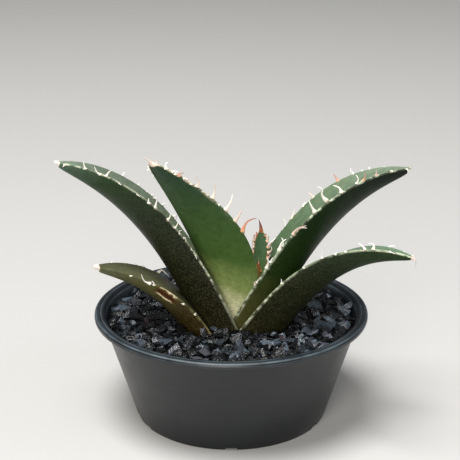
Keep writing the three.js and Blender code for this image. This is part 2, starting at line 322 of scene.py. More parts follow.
def build_pan():
    """The pan is raised ring by ring from one circle, then drilled and grooved in its foot."""
    rings = pan_profile()
    radius, height = rings[0]
    pan = new_piece(
        "pan",
        bpy.ops.mesh.primitive_circle_add,
        vertices=PAN_SIDES,
        radius=radius * MM,
        fill_type="TRIFAN",
        location=(0, 0, height * MM),
    )
    bpy.ops.object.transform_apply(location=True)
    bpy.ops.object.mode_set(mode="EDIT")
    select_outline(pan)
    for next_radius, next_height in rings[1:]:
        rise, grow = (next_height - height) * MM, next_radius / radius
        bpy.ops.mesh.extrude_region_move(TRANSFORM_OT_translate={"value": (0, 0, rise)})
        bpy.ops.transform.resize(value=(grow, grow, 1), center_override=(0, 0, next_height * MM))
        radius, height = next_radius, next_height
    bpy.ops.mesh.edge_face_add()
    bpy.ops.mesh.poke()
    bpy.ops.mesh.select_all(action="SELECT")
    bpy.ops.mesh.normals_make_consistent(inside=False)
    bpy.ops.object.mode_set(mode="OBJECT")
    for i in range(DRAIN_COUNT):
        turn = 2 * math.pi * i / DRAIN_COUNT
        cut_hole(pan, turn)
        cut_groove(pan, turn + math.pi / DRAIN_COUNT)
    select_only(pan)
    bpy.ops.object.shade_smooth_by_angle(angle=math.radians(SHARP_ANGLE))
    finish_piece(pan, moulded_polypropylene(), "root", "pan_plastic", "nursery_pan")


def select_outline(piece):
    """Selects the open edge of a mesh in edit mode."""
    bpy.ops.mesh.select_mode(type="EDGE")
    bpy.ops.mesh.select_all(action="DESELECT")
    bm = bmesh.from_edit_mesh(piece.data)
    for edge in bm.edges:
        edge.select = edge.is_boundary
    bmesh.update_edit_mesh(piece.data)


def cut_away(piece, cutter):
    apply_modifier(piece, "BOOLEAN", object=cutter, operation="DIFFERENCE", solver="MANIFOLD")
    bpy.data.objects.remove(cutter)


def cut_hole(pan, turn):
    spot = (DRAIN_CIRCLE * math.cos(turn) * MM, DRAIN_CIRCLE * math.sin(turn) * MM, 0)
    drill = new_piece(
        "drill",
        bpy.ops.mesh.primitive_cylinder_add,
        vertices=DRAIN_SIDES,
        radius=DRAIN_RADIUS * MM,
        depth=4 * FLOOR_TOP * MM,
        location=spot,
    )
    cut_away(pan, drill)


def cut_groove(pan, turn):
    start = BOSS_RADIUS + 2 * FOOT_LIFT
    middle = start + FOOT_RADIUS / 2
    cutter = new_piece(
        "groove_cutter",
        bpy.ops.mesh.primitive_cube_add,
        size=1,
        scale=(FOOT_RADIUS * MM, GROOVE_WIDTH * MM, 2 * FOOT_LIFT * MM),
        location=(middle * math.cos(turn) * MM, middle * math.sin(turn) * MM, 0),
        rotation=(0, 0, turn),
    )
    cut_away(pan, cutter)


build_pan()

# ---------------------------------------------------------------- leaves
# Each leaf is one arched blade, in millimetres and degrees. root is where its midrib starts, from the crown.
# azimuth and rise are the midrib's heading at foot and tip, bend is how late the rise changes, and roll is
# the blade's twist at the tip. channel is how hollow the upper face is. widest is the place of the greatest
# width, as a share of the length, and neck is the foot's share of that width. tip_form and thinning are how
# bluntly the outline and the thickness run out. The end spine starts at end and reaches spine past the tip.
# It may be blunt, bend down by droop and sideways by sway. spine_warmth is its colour, from white to
# red-brown, tip_horn is how horny it is, and tooth_size is how stout the teeth are. scar is an old wound's
# place, half length, distance inside the margin and half width.
LEAVES = {
    "leaf_lower_left": dict(
        azimuth=(195.4, 195.2), rise=(68.7, 3.3), bend=1.15, roll=-5.4, root=(-8.4, -5.5, -9.8), length=70.3,
        width=21.3, thickness=9.7, channel=0.12, widest=0.29, neck=0.91, tip_form=0.75, thinning=0.44,
        end=0.955, spine=-0.3, spine_width=2.8, blunt=True, spine_warmth=0.3, tip_horn=0.8, tooth_size=0.75,
        scar=(0.525, 6.5, -0.6, 0.65),
    ),
    "leaf_lower_right": dict(
        azimuth=(-28.7, -33.4), rise=(53.3, -11.4), bend=2.2, roll=-13.3, root=(7, -3.7, -6.9), length=98.4,
        width=26.1, thickness=12.1, channel=0.17, widest=0.42, neck=1, tip_form=0.91, thinning=0.49,
        spine=4, spine_width=1.1, droop=130, spine_warmth=0.45, tooth_size=0.7,
    ),
    "leaf_upper_left": dict(
        azimuth=(186.8, 197.6), rise=(64.9, 17.7), bend=1.94, roll=3.3, root=(-0.7, -2.2, -7.6), length=115.2,
        width=29.1, thickness=11.4, channel=0.41, widest=0.51, neck=0.93, tip_form=0.8, thinning=0.44,
        spine=0.8, spine_width=1.8, blunt=True, spine_warmth=0.2, tooth_size=0.62,
    ),
    "leaf_upper_right": dict(
        azimuth=(-3.5, -0.2), rise=(60.6, 6.4), bend=2.3, roll=-4.4, root=(2.3, 0.6, -2.8), length=107.8,
        width=26.6, thickness=13.4, channel=0.33, widest=0.51, neck=0.98, tip_form=0.85, thinning=0.44,
        spine=0.2, spine_width=1.3, blunt=True, spine_warmth=0.1, tip_horn=0.06, tooth_size=0.9,
    ),
    "leaf_centre": dict(
        azimuth=(240.6, 211.1), rise=(97.8, 41.3), bend=0.45, roll=12.2, root=(2.9, -1.6, -0.7), length=99.2,
        width=30.2, thickness=9, channel=0.08, widest=0.51, neck=0.5, tip_form=0.47, thinning=0.5,
        spine=5, spine_width=2.0, spine_warmth=0.4,
    ),
    "leaf_young": dict(
        azimuth=(60, 75), rise=(70, 92), bend=1, roll=0, root=(10.4, 0.8, 0.5), length=38.5,
        width=6.4, thickness=3.4, channel=0.3, widest=0.72, neck=0.8, tip_form=0.36, thinning=0.4,
        spine=6, spine_width=1.9, sway=22, spine_warmth=0.95, tooth_size=1.15,
    ),
    "leaf_bud": dict(
        azimuth=(-95, -95), rise=(84, 92), bend=1, roll=0, root=(12, -1.5, 3), length=24,
        width=5, thickness=3, channel=0.3, widest=0.3, neck=0.9, tip_form=0.8, thinning=0.5,
        spine=3, spine_width=1.0, spine_warmth=0.8, tooth_size=0.6,
    ),
}
MIDRIB_STEPS = 200
SIDE_TURN_EASE = 1.5  # past 1, the midrib's turn sideways comes late
CHANNEL_FILL = 0.12  # how far the upper face bulges along the midrib, as a share of the half width
SCAR_SINK = 0.12  # how far towards the midrib a scar has shrunk, as a share of the way
SCAR_BLUR = 1.5  # how far the sunk skin reaches past the scar itself
RING_SPACING = 1.7  # between the base mesh's rings, and so the width of the face that a tooth grows from
MARGIN_THICKNESS = 0.45
BLADE_END = 0.985  # share of the length at which the blade's outline passes into the spine
SPINE_RINGS = 5
SPINE_TAPER = 1.3
MERGE_DISTANCE = 1e-6
# Angles of the section's corners, from the middle of the keel round by way of both margins.
KEEL_HALF = (-90, -70, -50, -34, -20, -9, -2)
CHANNEL_FACE = (3, 13, 30, 50, 70, 90, 110, 130, 150, 167, 177)
SECTION = KEEL_HALF + CHANNEL_FACE + tuple(180 - a for a in reversed(KEEL_HALF))
# What each vertex of a leaf's skin knows about itself, for the colours: its share of the leaf's length, its
# distance from the margin (below 0 on the back), which face it is on, how far it is to the +across side,
# how horny it is and how warm its horn is.
MARKS = ("reach", "edge_mm", "face_up", "sideways", "horn", "tint")


class Blade:
    """Where the midrib of a leaf runs, and the directions along, across and out of its upper face."""

    def __init__(self, spec):
        self.spec = spec
        middle = CROWN + Vector(spec["root"])
        self.frames = []
        for i in range(MIDRIB_STEPS + 1):
            share = i / MIDRIB_STEPS
            rise = math.radians(mix(*spec["rise"], share ** spec["bend"]))
            azimuth = math.radians(mix(*spec["azimuth"], share**SIDE_TURN_EASE))
            ca, sa, cr, sr = math.cos(azimuth), math.sin(azimuth), math.cos(rise), math.sin(rise)
            along = Vector((ca * cr, sa * cr, sr))
            roll = Matrix.Rotation(math.radians(spec["roll"]) * share, 3, along)
            across = roll @ Vector((-sa, ca, 0))
            if i:
                middle = middle + (along + self.frames[-1][1]) * (spec["length"] / MIDRIB_STEPS / 2)
            self.frames.append((middle, along, across, along.cross(across)))

    def at(self, share):
        """The midrib's place and directions at a share of the length."""
        place = min(max(share, 0), 1) * MIDRIB_STEPS
        low = min(int(place), MIDRIB_STEPS - 1)
        part = place - low
        first, second = self.frames[low], self.frames[low + 1]
        return [a.lerp(b, part) for a, b in zip(first, second)]

    def half_width(self, share):
        spec = self.spec
        if share < spec["widest"]:
            swell = math.sin(math.pi / 2 * share / spec["widest"])
            return spec["width"] / 2 * mix(spec["neck"], 1, swell)
        fall = math.cos(math.pi / 2 * (share - spec["widest"]) / (1 - spec["widest"]))
        return spec["width"] / 2 * max(fall, 0) ** spec["tip_form"]

    def point(self, share, angle):
        """A point of the section: 0 and 180 degrees are the margins, and negative angles are the keel."""
        spec = self.spec
        middle, _, across, upper = self.at(share)
        half = self.half_width(share)
        depth = spec["thickness"] * (1 - share) ** spec["thinning"]
        turn = math.radians(angle)
        out = half * math.cos(turn)
        sine = math.sin(turn)
        rim = spec["channel"] * out * out / half
        body = CHANNEL_FILL * half * sine * sine if sine > 0 else min(depth * sine, -MARGIN_THICKNESS)
        return middle + across * out + upper * (rim + body)


def leaf_rows(spec):
    """Share of the length at each ring of the blade's base mesh."""
    end = spec.get("end", BLADE_END)
    count = round(spec["length"] * end / RING_SPACING)
    return [end * i / count for i in range(count + 1)]


def lay_blade(name, spec):
    """A grid rolled round the midrib into one closed skin, from the root's pole to the tip of the spine."""
    blade = Blade(spec)
    shares = leaf_rows(spec)
    rows = 1 + len(shares) + SPINE_RINGS + 1
    columns = len(SECTION)
    leaf = new_piece(
        name + "_skin",
        bpy.ops.mesh.primitive_grid_add,
        x_subdivisions=columns,
        y_subdivisions=rows - 1,
        size=2 * MM,
    )
    mesh = leaf.data
    marks = {key: np.zeros(len(mesh.vertices), np.float32) for key in MARKS}
    for vertex in mesh.vertices:
        column = round((vertex.co.x / MM + 1) / 2 * columns) % columns
        row = round((vertex.co.y / MM + 1) / 2 * (rows - 1))
        place, reach, horn = ring_point(blade, shares, row, rows, column)
        angle = SECTION[column]
        face_up = 1 if 0 < angle < 180 else -1
        sideways = math.cos(math.radians(angle))
        edge = blade.half_width(min(reach, shares[-1])) * (1 - abs(sideways)) * face_up
        for key, value in zip(MARKS, (reach, edge, face_up, sideways, horn, spec["spine_warmth"])):
            marks[key][vertex.index] = value
        scar = scar_depth(spec, reach, edge, angle)
        place = place.lerp(blade.at(reach)[0], SCAR_SINK * scar)
        vertex.co = place * MM
    for key, values in marks.items():
        mesh.attributes.new(key, "FLOAT", "POINT").data.foreach_set("value", values)
    bpy.ops.object.mode_set(mode="EDIT")
    bpy.ops.mesh.select_all(action="SELECT")
    bpy.ops.mesh.remove_doubles(threshold=MERGE_DISTANCE)
    bpy.ops.mesh.normals_make_consistent(inside=False)
    return leaf, blade


def ring_point(blade, shares, row, rows, column):
    """The place, share of the length and horniness of one corner of the base grid."""
    spec = blade.spec
    if row == 0:
        middle, along = blade.at(0)[:2]
        return middle - along, 0, 0
    if row <= len(shares):
        share = shares[row - 1]
        return blade.point(share, SECTION[column]), share, 0
    step = (row - len(shares)) / (SPINE_RINGS + 1)
    middle, along, across, upper = blade.at(shares[-1])
    stub = (1 - shares[-1]) * spec["length"]
    distance = (stub + spec["spine"]) * step
    bend, sway = (math.radians(spec.get(key, 0)) * step / 2 for key in ("droop", "sway"))
    way = (along - upper * math.tan(bend) + across * math.tan(sway)).normalized()
    taper = math.sqrt(1 - step**2) if spec.get("blunt") else 1 - step**SPINE_TAPER
    radius = min(blade.half_width(shares[-1]), spec["spine_width"] / 2) * taper
    turn = math.radians(SECTION[column])
    round_point = across * math.cos(turn) + upper * math.sin(turn)
    horn = spec.get("tip_horn", 1) * smooth(0, 0.5, step)
    return middle + way * distance + round_point * radius, 1, horn


def scar_depth(spec, reach, edge, angle):
    """1 in the middle of a scar and 0 outside it. It lies along the margin on the +across side."""
    if "scar" not in spec or not -90 < angle < 90:
        return 0
    place, half_length, middle, half_width = spec["scar"]
    gap_along = (reach - place) * spec["length"] / half_length
    gap_across = (edge - middle) / half_width
    return max(0, 1 - math.hypot(gap_along, gap_across) / SCAR_BLUR)


# ---------------------------------------------------------------- teeth
# Each tooth is its side (1 is the margin towards +across), its place as a share of the leaf's length, how
# many faces of the margin its foot takes in, how warm its horn is, from white to red-brown, and the points
# that it curls through: millimetres outward, along the leaf and up, from its foot.
TEETH = {
    "leaf_upper_left": [
        (-1, 0.48, 1, 0, ((0.5, -0.5, 2), (0.5, -2.5, -0.5))),
        (-1, 0.54, 2, 0, ((0.5, 0, 1), (1, -1.5, 2.5))),
        (-1, 0.59, 1, 0, ((0.5, 1, 0.5), (0.5, -0.5, 1))),
        (-1, 0.62, 1, 0, ((0, 0, 0.5),)),
        (-1, 0.66, 1, 0, ((0.5, 0, 1),)),
        (-1, 0.73, 2, 0, ((0.5, 0, 2),)),
        (1, 0.29, 1, 0, ((0.5, -1, 0),)),
        (1, 0.35, 1, 0, ((0.5, -1.5, 0),)),
        (1, 0.40, 1, 0, ((0.5, -1.5, -0.5),)),
        (1, 0.43, 1, 0, ((0.5, -1, 0),)),
        (1, 0.48, 1, 0, ((0.5, 0, 1), (0.5, -2, 0))),
        (1, 0.50, 1, 0, ((0.5, 1.5, 0.5), (0.5, 1, 2))),
        (1, 0.53, 2, 0, ((0.5, 0.5, 1.5), (1, 1.5, 3))),
        (1, 0.57, 2, 0, ((0.5, 0.5, 2), (1, 2.5, 3.5))),
        (1, 0.63, 2, 0, ((0.5, 1.5, 2), (1.5, 3, 4), (1.5, 4.5, 2.5))),
        (1, 0.66, 2, 0, ((0.5, 1.5, 1.5),)),
        (1, 0.71, 1, 0, ((0.5, -1.5, 0),)),
        (1, 0.78, 1, 0, ((0.5, -1, 0),)),
        (1, 0.83, 2, 0, ((0.5, 0, 2.5), (1, -0.5, 3.5))),
        (1, 0.85, 2, 0, ((0.5, 2, 0.5), (1, 4, 2))),
        (1, 0.90, 2, 0, ((0.5, 1.5, 1.5), (1, 2.5, 3))),
        (1, 0.97, 1, 0.1, ((0.5, 0.5, -1),)),
    ],
    "leaf_centre": [
        (-1, 0.65, 1, 0, ((1, 1, 0),)),
        (-1, 0.87, 1, 0.1, ((0.6, 0.6, -0.2),)),
        (-1, 0.89, 1, 0, ((0.5, 0, -1),)),
        (-1, 0.92, 1, 0.1, ((0.8, 0.6, -0.4), (0.6, 1.4, -0.8))),
        (-1, 0.94, 1, 0, ((1, 0.5, -1), (0.5, 0, -1))),
        (-1, 0.96, 1, 0, ((0.5, 0.5, -0.5),)),
        (1, 0.53, 2, 0.85, ((1, 2, 2), (2, 3, 4.5), (5, 2.5, 6.5))),
        (1, 0.60, 2, 0.45, ((1.5, 1, 2.5), (2.5, 2.5, 5))),
        (1, 0.67, 2, 0.2, ((2, 1.5, 3.5), (2.5, 3.5, 6.5))),
        (1, 0.71, 1, 0, ((0.5, 0, 0.5),)),
        (1, 0.75, 2, 0.3, ((1, 1.5, 3), (2, 5, 5))),
        (1, 0.78, 1, 0.2, ((0.5, -0.4, 0.5),)),
        (1, 0.80, 1, 0.3, ((0.5, 0, 0.5),)),
        (1, 0.83, 2, 0.3, ((1, 1.5, 2), (1.5, 5.5, 2.5))),
        (1, 0.855, 1, 0.2, ((0.7, 0.8, 0.5),)),
        (1, 0.88, 1, 0.3, ((0.5, 0, 1),)),
        (1, 0.895, 1, 0.1, ((0.8, -0.6, 0.6), (1.2, -1.4, 0.4))),
        (1, 0.91, 1, 0.75, ((0.5, 1, 1), (1.5, -0.5, 2))),
        (1, 0.925, 1, 0.1, ((0.6, 0.8, 0.6), (1.2, 0.4, 1.4))),
        (1, 0.94, 1, 0, ((1, -0.5, 1.5),)),
        (1, 0.96, 1, 0, ((0.5, 2, 1.5), (1, 1.5, 2.5))),
        (1, 0.99, 1, 0.3, ((0.5, 1.5, 1.5), (1, 3, 2))),
    ],
    "leaf_upper_right": [
        (-1, 0.23, 1, 0.3, ((0.5, 1, 1.5),)),
        (-1, 0.24, 1, 0, ((0.5, 2, 0),)),
        (-1, 0.31, 2, 0, ((1, 3.5, 1), (1.5, 4.5, 2.5))),
        (-1, 0.34, 1, 0, ((0.5, 2.5, 0.5),)),
        (-1, 0.40, 2, 0, ((1, 3.5, 1.5), (2, 6.5, 1))),
        (-1, 0.42, 1, 0, ((1, 2.5, 1.5), (1, 3, 3))),
        (-1, 0.48, 2, 0.45, ((1, 3.5, 0.5), (2, 7.5, -1.5))),
        (-1, 0.50, 1, 0.4, ((0.5, 2.5, -0.5), (1.5, 4.5, -2.5))),
        (-1, 0.60, 2, 0, ((1, 1, 3.5), (1.5, 2, 6))),
        (-1, 0.66, 2, 0, ((1, 0, 4.5), (2, 2.5, 6), (2.5, 1, 8.5))),
        (-1, 0.72, 2, 0, ((0.5, 0.5, 2.5), (1.5, -1, 5))),
        (-1, 0.78, 1, 0, ((0.5, 2, 1.5), (1, 2, 4))),
        (-1, 0.81, 1, 0.75, ((0.5, 1.5, 1.5), (1, 2.5, 3.5))),
        (-1, 0.86, 1, 0.5, ((1, 1, 2.5),)),
        (-1, 0.92, 1, 0, ((0.5, -0.5, 0.5),)),
        (-1, 0.98, 1, 0, ((0.5, 0.5, -1), (0.5, 0, -1.5))),
        (1, 0.31, 2, 0, ((1, 2.5, 1), (1.5, 5.5, 0))),
        (1, 0.34, 1, 0, ((0.5, 1.5, -0.5),)),
        (1, 0.40, 2, 0.15, ((1, 3, 0.5), (2, 4.5, 3))),
        (1, 0.46, 2, 0.3, ((1, 2, 1), (2, 4.5, 2))),
        (1, 0.49, 1, 0.3, ((0.5, 1, 0.5),)),
        (1, 0.53, 1, 0, ((0.5, 1.5, 1), (1, 3, 0), (0.5, 2, -1))),
        (1, 0.59, 2, 0.4, ((0.5, 0, 2), (1, -0.5, 3.5))),
        (1, 0.71, 2, 0.75, ((0.5, 0, 2), (1, 0, 4))),
        (1, 0.77, 2, 0, ((0.5, 1, 0.5), (0.5, 0, 2), (1, 1, 3))),
        (1, 0.81, 1, 0, ((0.5, 0.5, 1),)),
        (1, 0.84, 1, 0, ((0.5, 0.5, 1.5),)),
        (1, 0.88, 1, 0, ((0.5, 2.5, 0),)),
    ],
    "leaf_lower_right": [
        (-1, 0.41, 1, 0, ((0.5, 1.5, 1.5),)),
        (-1, 0.54, 1, 0, ((0.5, 1, 0.5),)),
        (-1, 0.63, 1, 0, ((0.5, 0.5, 1.5), (1, 2, 2))),
        (-1, 0.69, 1, 0, ((0.5, 1, 0.5),)),
        (-1, 0.73, 1, 0, ((0.5, 1, 0.5),)),
        (-1, 0.81, 2, 0, ((0.5, -1, 1.5), (1, -2.5, 3))),
        (-1, 0.84, 2, 0, ((0.5, 0.5, 2.5), (1, -2, 2.5))),
        (-1, 0.90, 1, 0, ((0.5, 3, -0.5),)),
        (1, 0.85, 1, 0, ((0.5, 0.5, 1), (1.5, 2.5, 1))),
        (1, 0.94, 1, 0, ((0.5, -0.5, 1),)),
        (1, 0.98, 1, 0.3, ((0.5, 0.5, 1.5),)),
    ],
    "leaf_lower_left": [
        (-1, 0.55, 2, 0, ((0.5, -0.5, 2), (1, -2.5, 2), (1.5, -6, 1))),
        (-1, 0.65, 1, 0, ((0.5, 2, -0.5), (1.5, 4.5, -0.5))),
        (-1, 0.67, 1, 0, ((0.5, -0.5, 1),)),
        (-1, 0.77, 1, 0, ((0.5, 0, 1),)),
        (-1, 0.87, 1, 0, ((0.5, 0, 1),)),
        (1, 0.31, 1, 0, ((0.5, 0.5, 1),)),
        (1, 0.41, 1, 0, ((0, 1, -0.5),)),
        (1, 0.63, 1, 0, ((0.5, 0.5, 1), (0.5, 2, 1.5))),
        (1, 0.65, 2, 0, ((0.5, 2, 0), (1, 4, 0.5), (2, 6.5, 3))),
        (1, 0.78, 1, 0, ((0.5, -1, 0.5),)),
    ],
    "leaf_young": [
        (-1, 0.70, 1, 0.6, ((1, 0.5, 0), (1.5, 2, 0))),
        (-1, 0.76, 1, 0.5, ((1.2, 0.5, 0), (2.2, 1.8, 0.3), (1.6, 3.2, 0))),
        (-1, 0.82, 1, 0.7, ((1, 1.2, 0), (2, 2.8, 0))),
        (-1, 0.89, 1, 0.6, ((0.8, 1.5, 0), (0.8, 3, 0.3))),
        (-1, 0.95, 1, 0.85, ((0.2, 1.5, 0),)),
        (1, 0.73, 1, 0.7, ((0.8, 1, 0), (1, 2, 0))),
        (1, 0.80, 1, 0.4, ((0.8, 1.5, 0), (1, 4, -0.3))),
        (1, 0.88, 1, 0.65, ((0.5, 1.8, 0), (0.5, 3.2, 0))),
        (1, 0.95, 1, 0.85, ((0.2, 1.6, 0),)),
    ],
    "leaf_bud": [
        (-1, 0.84, 1, 1, ((-0.5, 3.5, 1),)),
        (1, 0.71, 1, 0.3, ((-1, 2, 0.5),)),
        (1, 0.83, 1, 1, ((-1, 4, 1),)),
    ],
}
TOOTH_STEPS = (0.07, 0.18, 0.36, 0.58, 0.8, 1.0)  # shares of a tooth's length at which it is narrowed
TOOTH_WIDTHS = (2.6, 1.5, 0.95, 0.75, 0.62, 0.3)  # its width at each, in millimetres, where its foot is broad
SMALL_TOOTH = 0.8  # width of a tooth with a narrow foot, beside a broad one
MARGIN_SEARCH = 6  # how far from its place a tooth may find a face to grow from
MARGIN_FACING = 0.6  # how squarely that face looks outward, from 0 to 1
LOOK_AHEAD = 0.05  # share of a tooth's length over which its direction is taken


def margin_faces(bm, blade, side, reach, count):
    """The faces of the margin strip on one side that lie nearest to a place along it."""
    corner = blade.point(reach, 0 if side > 0 else 180) * MM
    across = blade.at(reach)[2] * side
    found = []
    for face in bm.faces:
        middle = face.calc_center_median()
        gap = (middle - corner).length
        if gap < MARGIN_SEARCH * MM and face.normal.dot(across) > MARGIN_FACING and len(face.verts) == 4:
            found.append((gap, face))
    found.sort(key=lambda pair: pair[0])
    return [face for _, face in found[:count]]


def curl_point(points, share):
    """A point on the smooth curve through a tooth's points, by share of its length."""
    place = share * (len(points) - 1)
    low = min(int(place), len(points) - 2)
    before, start = points[max(low - 1, 0)], points[low]
    end, after = points[low + 1], points[min(low + 2, len(points) - 1)]
    t = place - low
    pull_start, pull_end = (end - before) / 2, (after - start) / 2
    return (
        start * (2 * t**3 - 3 * t**2 + 1)
        + pull_start * (t**3 - 2 * t**2 + t)
        + end * (3 * t**2 - 2 * t**3)
        + pull_end * (t**3 - t**2)
    )


def narrow_cap(cap, centre, swing, along, way, width):
    """Turns the end of a growing tooth to face its way, and brings it to a width on both sides."""
    wide_way = (along - way * along.dot(way)).normalized()
    thick_way = way.cross(wide_way)
    spreads = [swing @ (v.co - centre) for v in cap]
    widest = max(abs(p.dot(wide_way)) for p in spreads)
    thickest = max(abs(p.dot(thick_way)) for p in spreads)
    for v, spread in zip(cap, spreads):
        wide = spread.dot(wide_way) / max(widest, MERGE_DISTANCE) * width / 2
        thick = spread.dot(thick_way) / max(thickest, MERGE_DISTANCE) * width / 2
        v.co = centre + wide_way * wide + thick_way * thick


def grow_tooth(leaf, blade, tooth):
    """Grows one hooked tooth out of the margin by extruding its faces step by step."""
    side, reach, faces_wide, warmth, curl = tooth
    mesh = leaf.data
    bpy.ops.mesh.select_all(action="DESELECT")
    bm = bmesh.from_edit_mesh(mesh)
    faces = margin_faces(bm, blade, side, reach, faces_wide)
    for face in faces:
        face.select = True
    bmesh.update_edit_mesh(mesh)
    along, across, upper = blade.at(reach)[1:]
    axes = Matrix((across * side, along, upper)).transposed()
    points = [axes @ Vector(p) * MM for p in ((0, 0, 0), *curl)]
    foot = blade.point(reach, 0 if side > 0 else 180) * MM - upper * MARGIN_THICKNESS / 2 * MM
    centre = sum((face.calc_center_median() for face in faces), Vector()) / len(faces)
    way = across * side
    stoutness = blade.spec.get("tooth_size", 1) * (1 if faces_wide > 1 else SMALL_TOOTH)
    for share, width in zip(TOOTH_STEPS, TOOTH_WIDTHS):
        target = foot + curl_point(points, share)
        bpy.ops.mesh.extrude_region_move(TRANSFORM_OT_translate={"value": target - centre})
        bm = bmesh.from_edit_mesh(mesh)
        cap = [v for v in bm.verts if v.select]
        centre = sum((v.co for v in cap), Vector()) / len(cap)
        behind, ahead = max(share - LOOK_AHEAD, 0), min(share + LOOK_AHEAD, 1)
        next_way = (curl_point(points, ahead) - curl_point(points, behind)).normalized()
        swing = way.rotation_difference(next_way).to_matrix()
        along = swing @ along
        narrow_cap(cap, centre, swing, along, next_way, width * stoutness * MM)
        centre = sum((v.co for v in cap), Vector()) / len(cap)
        horn, tint_layer = bm.verts.layers.float["horn"], bm.verts.layers.float["tint"]
        for v in cap:
            v[horn] = share
            v[tint_layer] = warmth
        bmesh.update_edit_mesh(mesh)
        way = next_way


# ---------------------------------------------------------------- leaf skin
REACH_STOPS = (0.08, 0.3, 0.6, 0.95)  # shares of a leaf's length at which its colours are given
# The horn of spines and teeth from root to point: bone white, and the red-brown of young growth.
PALE_HORN = ((0.0, "#c3c5a2"), (0.12, "#f0ece0"), (0.6, "#f5f2ea"), (1.0, "#f3f0e8"))
WARM_HORN = ((0.0, "#d9a878"), (0.2, "#c06a34"), (0.7, "#9a4822"), (1.0, "#6a3020"))
DRY_SCAR = ((0.0, "#2a190c"), (0.5, "#5a3a1c"), (1.0, "#6a5228"))


def agave_skin(
    name, back, face, edging, line_colour, freckles, stops=REACH_STOPS, slant=0.0, edge_width=0.12, scar=None
):
    """Living agave leaf: a smooth waxy cuticle, satin to the eye, with a horny pale edge and horny teeth."""
    material, add = new_material(name)
    marks = (add("Attribute", attribute_name=key, take="Fac") for key in MARKS)
    reach, edge, up, sideways, horn, warmth = marks
    lift = add("Math", reach, add("MapRange", grain(add, 9), 0.2, 0.8, -0.04, 0.04), operation="ADD")
    lift = add("Math", sideways, slant, lift, operation="MULTIPLY_ADD")
    back, face = (add("ValToRGB", lift, stops=list(zip(stops, codes))) for codes in (back, face))
    # channel faces take the face colours and backs the back colours; the backs' much darker greens are partly
    # their own colour and partly painted shade, for undersides turned from the lamps above
    skin = add("Mix", add("MapRange", up, -0.3, 0.3), back, face, data_type="RGBA")
    # cloudy patches, darker than the skin that they lie on
    darker = add("HueSaturation", named={"Color": skin, "Saturation": 1.1, "Value": 0.62})
    patches = add("MapRange", grain(add, 2.6, 4), 0.4, 0.68, 0.0, 0.55)
    skin = add("Mix", patches, skin, darker, data_type="RGBA")
    # fine pale freckles about 0.6 mm apart, thick towards the foot of the leaf
    freckle_colour, at_foot, at_tip = freckles
    freckle = add("MapRange", grain(add, 0.62, 1), 0.46, 0.62)
    thick = add("MapRange", reach, 0.2, 0.85, at_foot, at_tip)
    freckle = add("Math", freckle, thick, operation="MULTIPLY")
    skin = add("Mix", freckle, skin, linear(freckle_colour), data_type="RGBA")
    if scar:
        skin = scar_colours(add, skin, reach, edge, sideways, scar)
    # the horny line that edges the leaf, broken here and there
    line = add("MapRange", add("Math", edge, operation="ABSOLUTE"), 0.02, edge_width, 1.0, 0.0)
    broken = add("MapRange", grain(add, 3, 2), 0.42, 0.58, 0.1, 1.0)
    line = add("Math", line, broken, operation="MULTIPLY")
    strength = add("ValToRGB", reach, stops=list(zip(REACH_STOPS, edging)))
    line = add("Math", line, strength, operation="MULTIPLY")
    skin = add("Mix", line, skin, linear(line_colour), data_type="RGBA")
    pale, warm = (add("ValToRGB", horn, stops=stops) for stops in (PALE_HORN, WARM_HORN))
    horny = add("Mix", warmth, pale, warm, data_type="RGBA")
    # shallow waves 5 mm apart under pores of about half a millimetre
    pores = add("Math", grain(add, 5, 2), 4.0, grain(add, 0.6, 2), operation="MULTIPLY_ADD")
    surface = {
        "Base Color": add("Mix", add("MapRange", horn, 0.01, 0.12), skin, horny, data_type="RGBA"),
        "Roughness": add("MapRange", grain(add, 4), 0.3, 0.7, 0.4, 0.54),
        "IOR": 1.45,
        "Specular IOR Level": 0.24,
        "Normal": add("Bump", named={"Height": pores, "Distance": 0.05 * MM}),
    }
    add("OutputMaterial", add("BsdfPrincipled", named=surface))
    return material


def scar_colours(add, skin, reach, edge, sideways, scar):
    """A dry orange-brown scar along the +across margin, between two torn, corky cream lips."""
    place, half_length, middle, half_width, leaf_length = scar
    along = add("Math", reach, place, operation="SUBTRACT")
    along = add("Math", along, leaf_length / half_length, operation="MULTIPLY")
    along = add("Math", along, operation="ABSOLUTE")
    across = add("Math", edge, middle, operation="SUBTRACT")
    across = add("Math", across, 1 / half_width, operation="MULTIPLY")
    across = add("Math", across, add("MapRange", grain(add, 3, 3), 0.2, 0.8, -0.5, 0.5), operation="ADD")
    across = add("Math", across, operation="ABSOLUTE")
    # only one margin is scarred, and the scar fades at both ends
    this_margin = add("MapRange", sideways, 0.3, 0.5)
    fade = add("Math", add("MapRange", along, 0.6, 1.0, 1.0, 0.0), this_margin, operation="MULTIPLY")
    inside = add("Math", add("MapRange", across, 0.7, 1.1, 1.0, 0.0), fade, operation="MULTIPLY")
    skin = add("Mix", inside, skin, add("ValToRGB", across, stops=DRY_SCAR), data_type="RGBA")
    # the lips run beside it, and end before it does
    fade = add("Math", add("MapRange", along, 0.45, 0.75, 1.0, 0.0), this_margin, operation="MULTIPLY")
    inner_side = add("MapRange", across, 0.8, 0.95)
    outer_side = add("MapRange", across, 1.15, 1.35, 1.0, 0.0)
    lip = add("Math", inner_side, outer_side, operation="MULTIPLY")
    lip = add("Math", lip, fade, operation="MULTIPLY")
    return add("Mix", lip, skin, linear("#e6d8b4"), data_type="RGBA")


